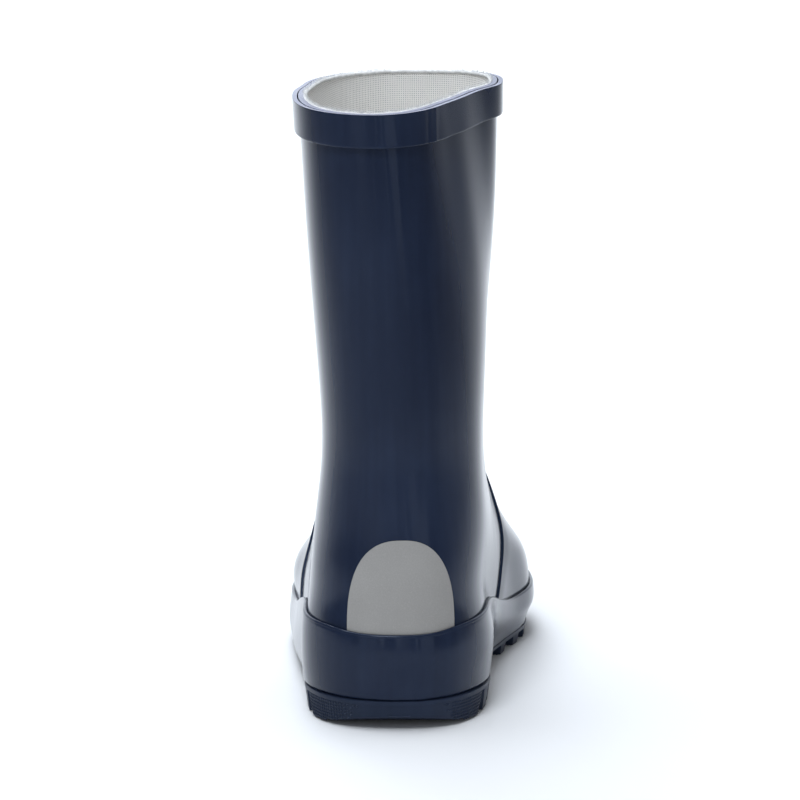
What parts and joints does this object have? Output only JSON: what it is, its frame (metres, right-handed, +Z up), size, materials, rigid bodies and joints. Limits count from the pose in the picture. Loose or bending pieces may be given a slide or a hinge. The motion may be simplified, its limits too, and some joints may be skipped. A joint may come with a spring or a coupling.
{
  "type": "child's rubber rain boot",
  "caption": "Child's pull-on rubber rain boot for the left foot, with a foxing band, a collar band, a knitted lining and a lugged sole.",
  "frame": {"origin": "on the ground, in the middle of the boot's footprint", "axes": "+Z up, +Y to the toe, +X to the inner (medial) side of the foot"},
  "size_m": [0.0856, 0.1894, 0.197],
  "materials": {
    "sole_rubber": "satin moulded navy rubber with knurled lugs",
    "foxing_rubber": "glossy navy rubber",
    "upper_rubber": "glossy navy rubber with soft vertical streaks",
    "collar_rubber": "glossy navy rubber with a pale cut edge",
    "knit_lining": "off-white ribbed cotton knit",
    "reflective_patch": "grey retroreflective film"
  },
  "bodies": {
    "root": {"outsole": "sole_rubber", "foxing": "foxing_rubber", "upper": "upper_rubber", "collar_band": "collar_rubber", "insole": "knit_lining"}
  },
  "joints": []
}
